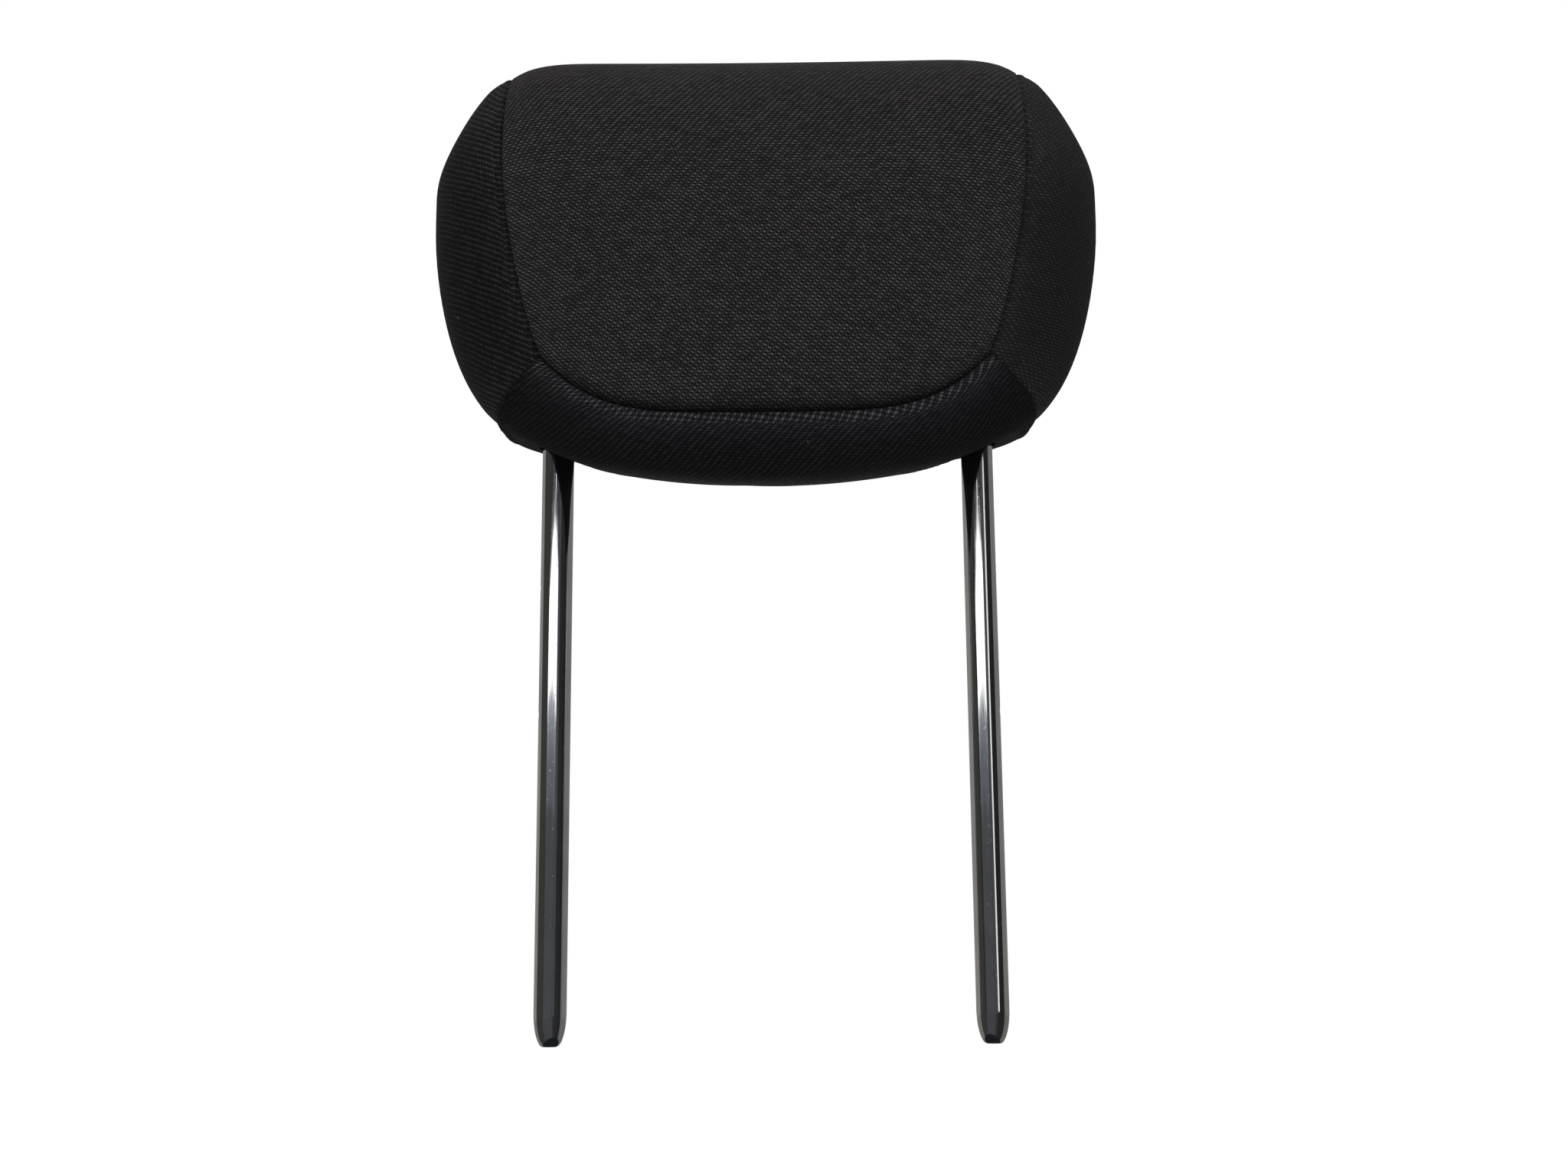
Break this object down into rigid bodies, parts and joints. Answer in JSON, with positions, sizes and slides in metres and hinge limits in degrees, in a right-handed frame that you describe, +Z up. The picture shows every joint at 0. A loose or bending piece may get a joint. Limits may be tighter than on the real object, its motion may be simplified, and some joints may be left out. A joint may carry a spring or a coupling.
{
  "type": "car headrest",
  "caption": "Padded fabric headrest on a bent chrome steel bar with two straight posts.",
  "frame": {"origin": "midway between the end faces of the two posts", "axes": "+Z up along the posts, +X along the line from one post to the other, -Y towards the front of the cushion, the side a head rests against"},
  "size_m": [0.255, 0.0985, 0.3784],
  "materials": {
    "chrome": "bright chrome plating on steel bar, lightly scratched",
    "core_plastic": "moulded black plastic",
    "zinc_steel": "zinc plated steel",
    "foam": "moulded polyurethane foam",
    "strip_plastic": "extruded black plastic",
    "seat_fabric": "black twill upholstery fabric",
    "side_fabric": "black twill upholstery fabric, darker where the weave turns away from the light",
    "bezel_plastic": "moulded black plastic"
  },
  "bodies": {
    "root": {"rod_frame": "chrome", "core_rear_shell": "core_plastic", "core_front_shell": "core_plastic", "core_screw_1": "zinc_steel", "core_screw_2": "zinc_steel", "core_screw_3": "zinc_steel", "core_screw_4": "zinc_steel", "bar_clamp_left": "zinc_steel", "bar_clamp_right": "zinc_steel", "clamp_screw_1": "zinc_steel", "clamp_screw_2": "zinc_steel", "clamp_screw_3": "zinc_steel", "clamp_screw_4": "zinc_steel", "foam_pad": "foam", "closing_strip_lower": "strip_plastic", "closing_strip_upper": "strip_plastic", "cover_centre_panel": "seat_fabric", "cover_side_panel_left": "side_fabric", "cover_side_panel_right": "side_fabric", "cover_bottom_panel": "side_fabric", "post_bezel_left": "bezel_plastic", "post_bezel_right": "bezel_plastic"}
  },
  "joints": []
}
